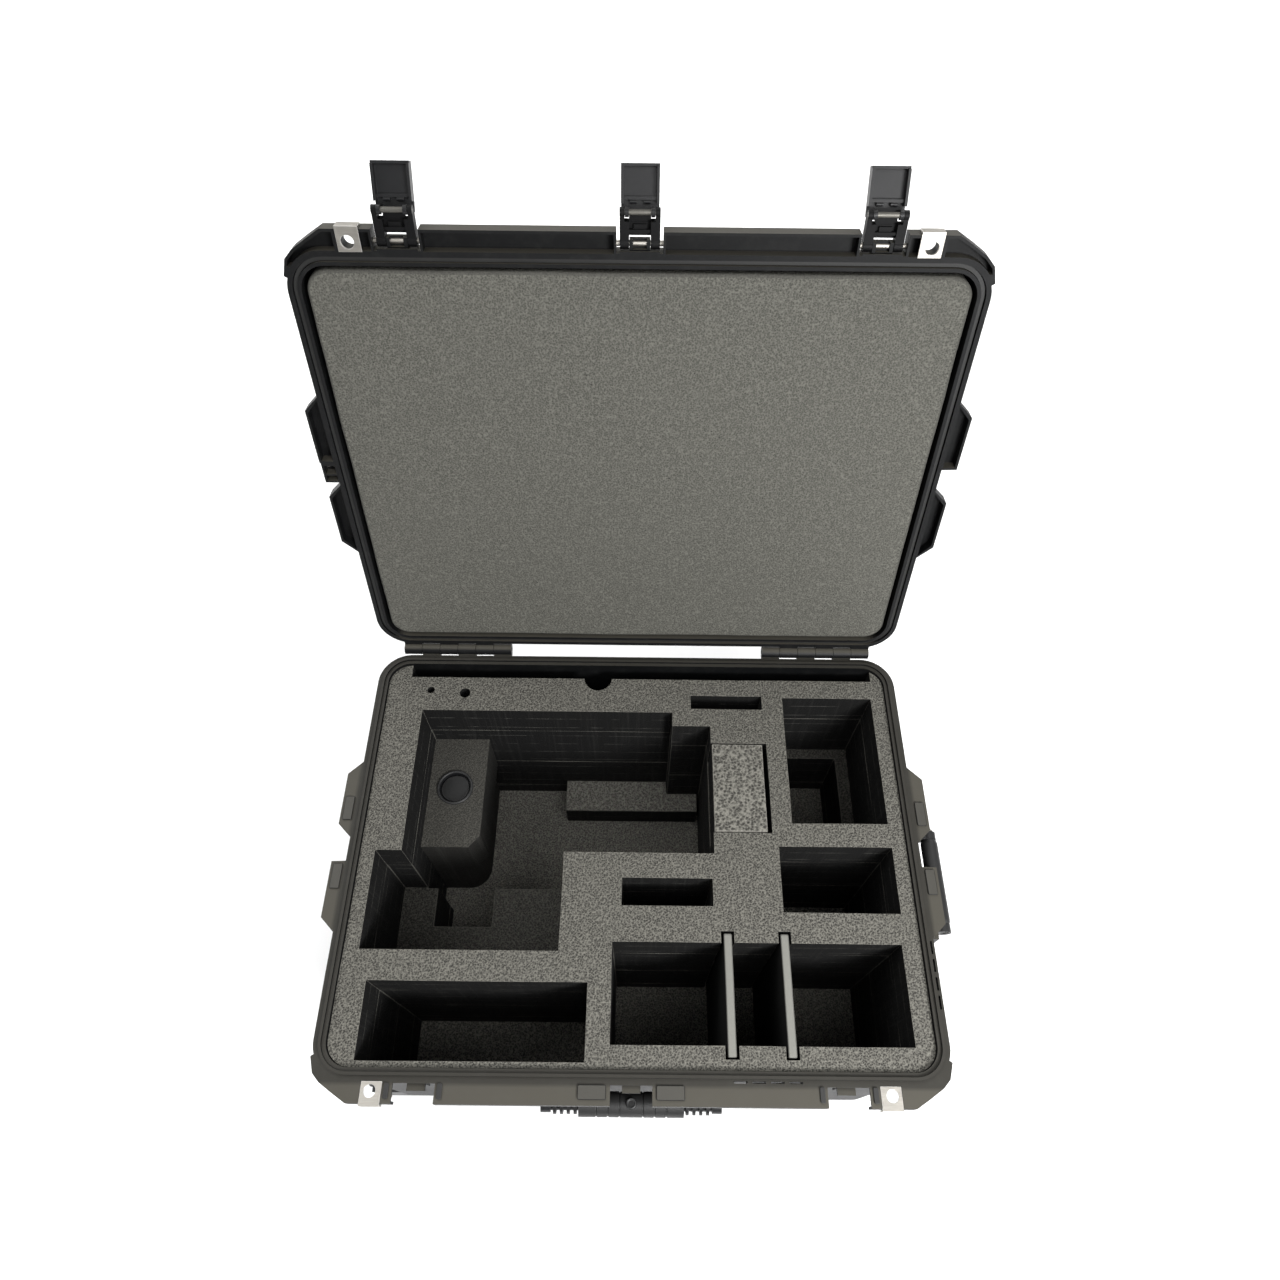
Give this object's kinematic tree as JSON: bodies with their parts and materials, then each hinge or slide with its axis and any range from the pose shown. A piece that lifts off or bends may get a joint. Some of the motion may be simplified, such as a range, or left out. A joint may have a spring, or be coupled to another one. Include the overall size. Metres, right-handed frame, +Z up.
{
  "type": "wheeled hard carrying case",
  "caption": "Open wheeled hard case with a cut foam insert for a drone, hinged lid, lever latches, two carry handles and a pull-out trolley handle.",
  "frame": {"origin": "centre of the base's underside, on the floor", "axes": "+X right along the case's length, +Y back towards the hinges, +Z up"},
  "size_m": [0.6778, 0.6838, 0.849],
  "materials": {
    "shell_plastic": "matte",
    "trim_plastic": "satin",
    "rubber_black": "matte",
    "tyre_rubber": "matte",
    "base_foam": "matte",
    "lid_foam_grey": "matte",
    "stainless": "satin",
    "tube_aluminium": "satin"
  },
  "bodies": {
    "base": {"base_shell": "shell_plastic", "hinge_pins": "stainless", "base_padlock_plates": "stainless", "front_flange_pads": "rubber_black", "side_flange_pads": "rubber_black", "flange_bumpers": "rubber_black", "pressure_valve": "trim_plastic", "pressure_valve_cap": "trim_plastic", "foam_layer_top": "base_foam", "foam_layer_upper": "base_foam", "foam_layer_lower": "base_foam", "foam_layer_base": "base_foam", "foam_floor_pad": "base_foam", "foam_arm_block": "base_foam", "arm_block_cup": "trim_plastic", "foam_cross_bar": "base_foam", "front_handle_pins": "stainless", "side_handle_pins": "stainless", "trolley_sleeves": "tube_aluminium", "trolley_brackets": "trim_plastic", "trolley_screws": "stainless", "wheel_housings": "trim_plastic", "wheel_axles": "stainless"},
    "lid": {"lid_shell": "shell_plastic", "lid_gasket": "rubber_black", "lid_padlock_plates": "stainless", "lid_foam": "lid_foam_grey", "latch_pivot_pins": "stainless"},
    "front_handle": {"front_handle_frame": "trim_plastic", "front_handle_grip": "rubber_black", "front_handle_badge": "trim_plastic"},
    "side_handle": {"side_handle": "rubber_black", "side_handle_rod": "stainless"},
    "trolley_mid": {"trolley_mid_tubes": "tube_aluminium"},
    "trolley_handle": {"trolley_inner_tubes": "tube_aluminium", "trolley_grip": "trim_plastic"},
    "trolley_button": {"trolley_button": "trim_plastic"},
    "wheel_front": {"wheel_front_tyre": "tyre_rubber", "wheel_front_hub": "trim_plastic", "wheel_front_bearings": "stainless"},
    "wheel_rear": {"wheel_rear_tyre": "tyre_rubber", "wheel_rear_hub": "trim_plastic", "wheel_rear_bearings": "stainless"},
    "foam_plug": {"foam_plug": "base_foam"},
    "divider_left": {"divider_left": "base_foam"},
    "divider_right": {"divider_right": "base_foam"},
    "latch_left": {"latch_left_link": "trim_plastic", "latch_left_pin": "stainless"},
    "latch_left_cover": {"latch_left_lever": "trim_plastic"},
    "latch_centre": {"latch_centre_link": "trim_plastic", "latch_centre_pin": "stainless"},
    "latch_centre_cover": {"latch_centre_lever": "trim_plastic"},
    "latch_right": {"latch_right_link": "trim_plastic", "latch_right_pin": "stainless"},
    "latch_right_cover": {"latch_right_lever": "trim_plastic"}
  },
  "joints": [
    {"name": "lid_hinge", "type": "hinge", "parent": "base", "child": "lid", "pos_m": [0, 0.2483, 0.32], "axis": [-1, 0, 0], "range_deg": [-104.7, 0]},
    {"name": "latch_left_swing", "type": "hinge", "parent": "lid", "child": "latch_left", "pos_m": [-0.211, 0.38147, 0.79609], "axis": [-1, 0, 0], "range_deg": [-90, 60]},
    {"name": "latch_left_lift", "type": "hinge", "parent": "latch_left", "child": "latch_left_cover", "pos_m": [-0.211, 0.3871, 0.82149], "axis": [-1, 0, 0], "range_deg": [-18, 22]},
    {"name": "latch_centre_swing", "type": "hinge", "parent": "lid", "child": "latch_centre", "pos_m": [0, 0.38147, 0.79609], "axis": [-1, 0, 0], "range_deg": [-90, 60]},
    {"name": "latch_centre_lift", "type": "hinge", "parent": "latch_centre", "child": "latch_centre_cover", "pos_m": [0, 0.3871, 0.82149], "axis": [-1, 0, 0], "range_deg": [-18, 22]},
    {"name": "latch_right_swing", "type": "hinge", "parent": "lid", "child": "latch_right", "pos_m": [0.211, 0.38147, 0.79609], "axis": [-1, 0, 0], "range_deg": [-90, 60]},
    {"name": "latch_right_lift", "type": "hinge", "parent": "latch_right", "child": "latch_right_cover", "pos_m": [0.211, 0.3871, 0.82149], "axis": [-1, 0, 0], "range_deg": [-18, 22]},
    {"name": "front_handle_swing", "type": "hinge", "parent": "base", "child": "front_handle", "pos_m": [0, -0.247, 0.296], "axis": [-1, 0, 0], "range_deg": [0, 90]},
    {"name": "side_handle_swing", "type": "hinge", "parent": "base", "child": "side_handle", "pos_m": [0.3185, -0.031, 0.294], "axis": [0, -1, 0], "range_deg": [-85, 0]},
    {"name": "trolley_mid_slide", "type": "slide", "parent": "base", "child": "trolley_mid", "axis": [1, 0, 0], "range_m": [0, 0.25]},
    {"name": "trolley_handle_slide", "type": "slide", "parent": "trolley_mid", "child": "trolley_handle", "axis": [1, 0, 0], "range_m": [0, 0.25]},
    {"name": "trolley_button_press", "type": "slide", "parent": "trolley_handle", "child": "trolley_button", "axis": [-1, 0, 0], "range_m": [0, 0.003], "stiffness_N_per_m": 500},
    {"name": "front_wheel_spin", "type": "hinge", "parent": "base", "child": "wheel_front", "pos_m": [-0.3085, -0.209, 0.028], "axis": [0, 1, 0], "continuous": true},
    {"name": "rear_wheel_spin", "type": "hinge", "parent": "base", "child": "wheel_rear", "pos_m": [-0.3085, 0.209, 0.028], "axis": [0, 1, 0], "continuous": true},
    {"name": "foam_plug_lift", "type": "slide", "parent": "base", "child": "foam_plug", "axis": [0, 0, 1], "range_m": [0, 0.1]},
    {"name": "divider_left_lift", "type": "slide", "parent": "base", "child": "divider_left", "axis": [0, 0, 1], "range_m": [0, 0.27]},
    {"name": "divider_right_lift", "type": "slide", "parent": "base", "child": "divider_right", "axis": [0, 0, 1], "range_m": [0, 0.27]}
  ],
  "couplings": [
    {"joint": "trolley_mid_slide", "follows": "trolley_handle_slide", "ratio": 1}
  ]
}
